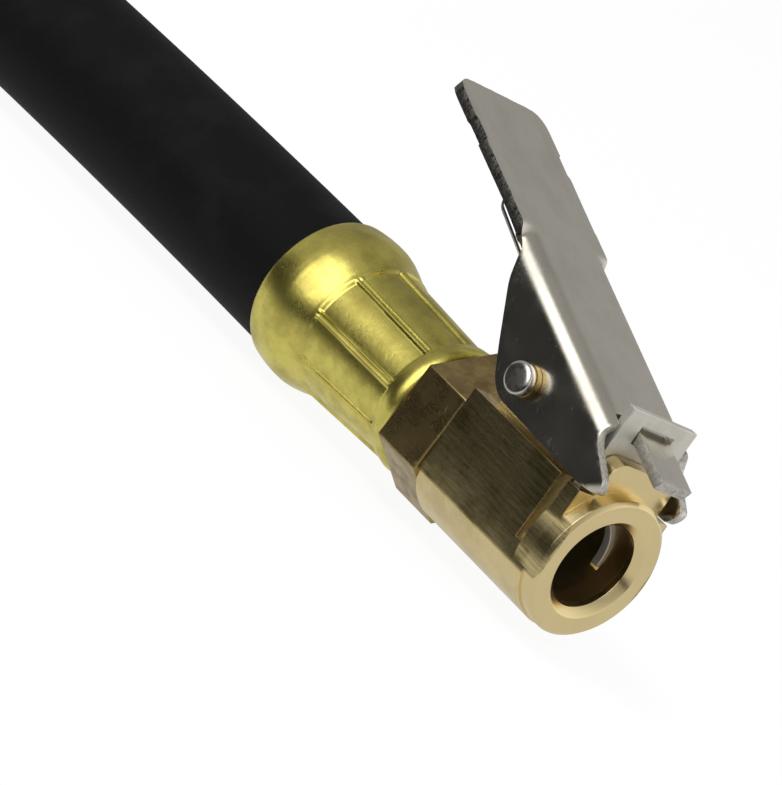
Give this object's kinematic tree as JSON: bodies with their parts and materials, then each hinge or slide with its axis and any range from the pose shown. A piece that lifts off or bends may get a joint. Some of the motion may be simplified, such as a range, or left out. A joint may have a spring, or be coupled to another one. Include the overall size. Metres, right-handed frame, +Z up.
{
  "type": "clip-on air chuck with hose",
  "caption": "Brass clip-on tyre chuck with a sprung steel thumb lever and biting jaw, crimped to a rubber air hose with a threaded end.",
  "frame": {"origin": "centre of the chuck's mouth, on the face of the ring that the tyre valve enters", "axes": "+X points out of the mouth along the valve bore, +Z points up to the clip lever, and the lever's rivet lies along Y"},
  "size_m": [0.198, 0.1876, 0.0322],
  "materials": {
    "brass": "turned and brushed",
    "ferrule_brass": "satin, greenish gold",
    "nickel_steel": "nickel plated satin",
    "polished_steel": "bright",
    "spring_wire": "bright drawn wire",
    "seal_rubber": "matte",
    "hose_rubber": "matte",
    "hose_braid": "textile braid"
  },
  "bodies": {
    "chuck_and_hose": {"chuck_body": "brass", "valve_opener": "brass", "pivot_washer_left": "brass", "pivot_washer_right": "brass", "chuck_stem": "brass", "tool_stem": "brass", "chuck_ferrule": "ferrule_brass", "tool_ferrule": "ferrule_brass", "pivot_pin": "polished_steel", "lever_spring": "spring_wire", "valve_seal": "seal_rubber", "tool_sealing_washer": "seal_rubber", "hose": "hose_rubber", "chuck_hose_liner": "seal_rubber", "chuck_hose_braid": "hose_braid", "chuck_hose_cover": "hose_rubber", "tool_hose_liner": "seal_rubber", "tool_hose_braid": "hose_braid", "tool_hose_cover": "hose_rubber"},
    "lever": {"clip_lever": "nickel_steel"},
    "jaw": {"jaw_plate": "polished_steel"}
  },
  "joints": [
    {"name": "lever_pivot", "type": "hinge", "parent": "chuck_and_hose", "child": "lever", "pos_m": [-0.0131, 0, 0.0089], "axis": [0, -1, 0], "range_deg": [0, 16], "stiffness_Nm_per_rad": 0.12, "springref_deg": -11.46, "deforming": ["lever_spring"]},
    {"name": "jaw_slide", "type": "slide", "parent": "chuck_and_hose", "child": "jaw", "axis": [0, 0, 1], "range_m": [0, 0.0025]}
  ],
  "couplings": [
    {"joint": "jaw_slide", "follows": "lever_pivot", "m_per_rad": 0.00865}
  ]
}
